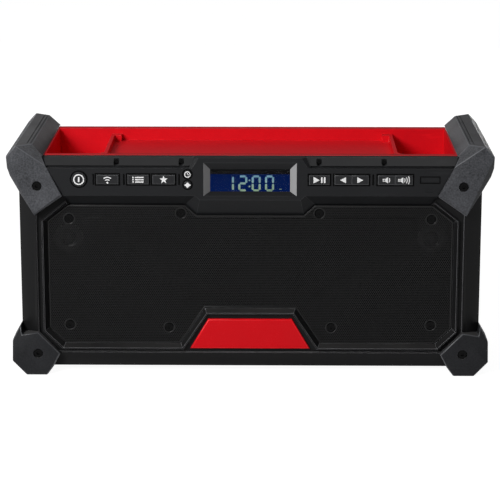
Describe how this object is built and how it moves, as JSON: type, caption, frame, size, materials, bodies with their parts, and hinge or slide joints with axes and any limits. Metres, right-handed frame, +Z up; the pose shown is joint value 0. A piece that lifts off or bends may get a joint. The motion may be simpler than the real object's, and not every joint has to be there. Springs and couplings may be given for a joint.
{
  "type": "jobsite radio",
  "caption": "Wide rugged radio with a storage tray on top, a clock display between press keys, a full-width speaker grille, corner guards and a rear battery bay.",
  "frame": {"origin": "centre of the footprint, on the surface that the radio stands on", "axes": "+X along the width, to the right as seen from the front; the front faces -Y; +Z up"},
  "size_m": [0.406, 0.166, 0.197],
  "materials": {
    "housing_plastic": "moulded charcoal, fine matt texture",
    "fascia_plastic": "moulded charcoal, satin",
    "guard_rubber": "overmoulded charcoal rubber, fine grain",
    "tray_plastic": "moulded red, satin",
    "grille_metal": "black powder coat on perforated sheet",
    "badge_red": "bare red plate, satin gloss",
    "key_rubber": "soft-touch black with white symbols",
    "lens_clear": "clear polished window",
    "lcd_glass": "blue display",
    "backlight_white": "diffuser",
    "membrane_rubber": "silicone",
    "board_green": "circuit board",
    "screw_black": "black oxide",
    "screw_zinc": "zinc plated",
    "basket_steel": "black pressed steel",
    "cone_paper": "black cone and surround",
    "magnet_ferrite": "ferrite ring between steel plates",
    "gasket_foam": "closed-cell foam",
    "seal_rubber": "black seal",
    "tweeter_gloss": "glossy black ring",
    "dome_silk": "coated silk dome",
    "heatsink_aluminium": "extruded",
    "ferrite_rod": "ferrite",
    "clip_plastic": "natural nylon",
    "transformer_core": "core wrapped in yellow tape",
    "capacitor_can": "sleeved can",
    "dock_plastic": "black nylon",
    "terminal_brass": "plated blades",
    "port_plastic": "black nylon",
    "port_steel": "plated shell",
    "cover_rubber": "soft black flap"
  },
  "bodies": {
    "radio": {"front_housing": "housing_plastic", "rear_housing": "housing_plastic", "housing_seal": "seal_rubber", "top_tray": "tray_plastic", "speaker_grille": "grille_metal", "badge_plate": "badge_red", "control_fascia": "fascia_plastic", "display_lens": "lens_clear", "lcd_panel": "lcd_glass", "lcd_backlight": "backlight_white", "keypad_membrane": "membrane_rubber", "keypad_board": "board_green", "main_board": "board_green", "heatsink": "heatsink_aluminium", "antenna_rod": "ferrite_rod", "antenna_clips": "clip_plastic", "power_board": "board_green", "transformer": "transformer_core", "capacitors": "capacitor_can", "battery_dock": "dock_plastic", "terminal_block": "dock_plastic", "battery_terminals": "terminal_brass", "aux_jack": "port_plastic", "usb_port": "port_steel", "port_board": "board_green", "ac_inlet": "port_plastic", "inlet_pins": "terminal_brass", "cover_pins": "port_steel", "guard_screws": "screw_black", "grille_screws": "screw_black", "fascia_screws": "screw_black", "board_screws": "screw_zinc", "woofer_screws": "screw_zinc", "housing_screws": "screw_zinc", "woofer_gaskets": "gasket_foam", "tweeter_domes": "dome_silk", "upper_guard_left": "guard_rubber", "upper_guard_right": "guard_rubber", "lower_guard_left": "guard_rubber", "lower_guard_right": "guard_rubber", "woofer_frame_left": "basket_steel", "woofer_cone_left": "cone_paper", "woofer_magnet_left": "magnet_ferrite", "tweeter_frame_left": "tweeter_gloss", "woofer_frame_right": "basket_steel", "woofer_cone_right": "cone_paper", "woofer_magnet_right": "magnet_ferrite", "tweeter_frame_right": "tweeter_gloss"},
    "power_key_body": {"power_key": "key_rubber"},
    "wireless_key_body": {"wireless_key": "key_rubber"},
    "mode_key_body": {"mode_key": "key_rubber"},
    "preset_key_body": {"preset_key": "key_rubber"},
    "clock_key_body": {"clock_key": "key_rubber"},
    "select_key_body": {"select_key": "key_rubber"},
    "play_key_body": {"play_key": "key_rubber"},
    "seek_rocker_body": {"seek_rocker": "key_rubber"},
    "volume_rocker_body": {"volume_rocker": "key_rubber"},
    "port_cover_body": {"port_cover": "cover_rubber"},
    "inlet_cover_body": {"inlet_cover": "cover_rubber"}
  },
  "joints": [
    {"name": "power_press", "type": "slide", "parent": "radio", "child": "power_key_body", "axis": [0, 1, 0], "range_m": [0, 0.001], "stiffness_N_per_m": 1000},
    {"name": "wireless_press", "type": "slide", "parent": "radio", "child": "wireless_key_body", "axis": [0, 1, 0], "range_m": [0, 0.001], "stiffness_N_per_m": 1000},
    {"name": "mode_press", "type": "slide", "parent": "radio", "child": "mode_key_body", "axis": [0, 1, 0], "range_m": [0, 0.001], "stiffness_N_per_m": 1000},
    {"name": "preset_press", "type": "slide", "parent": "radio", "child": "preset_key_body", "axis": [0, 1, 0], "range_m": [0, 0.001], "stiffness_N_per_m": 1000},
    {"name": "clock_press", "type": "slide", "parent": "radio", "child": "clock_key_body", "axis": [0, 1, 0], "range_m": [0, 0.001], "stiffness_N_per_m": 1000},
    {"name": "select_press", "type": "slide", "parent": "radio", "child": "select_key_body", "axis": [0, 1, 0], "range_m": [0, 0.001], "stiffness_N_per_m": 1000},
    {"name": "play_press", "type": "slide", "parent": "radio", "child": "play_key_body", "axis": [0, 1, 0], "range_m": [0, 0.001], "stiffness_N_per_m": 1000},
    {"name": "seek_rock", "type": "hinge", "parent": "radio", "child": "seek_rocker_body", "pos_m": [0.08435, -0.0745, 0.1688], "axis": [0, 0, 1], "range_deg": [-3, 3], "stiffness_Nm_per_rad": 0.2},
    {"name": "volume_rock", "type": "hinge", "parent": "radio", "child": "volume_rocker_body", "pos_m": [0.12055, -0.0745, 0.1688], "axis": [0, 0, 1], "range_deg": [-3, 3], "stiffness_Nm_per_rad": 0.2},
    {"name": "port_cover_hinge", "type": "hinge", "parent": "radio", "child": "port_cover_body", "pos_m": [0.122, 0.0754, 0.1063], "axis": [1, 0, 0], "range_deg": [0, 110]},
    {"name": "inlet_cover_hinge", "type": "hinge", "parent": "radio", "child": "inlet_cover_body", "pos_m": [-0.122, 0.0754, 0.1063], "axis": [1, 0, 0], "range_deg": [0, 110]}
  ]
}
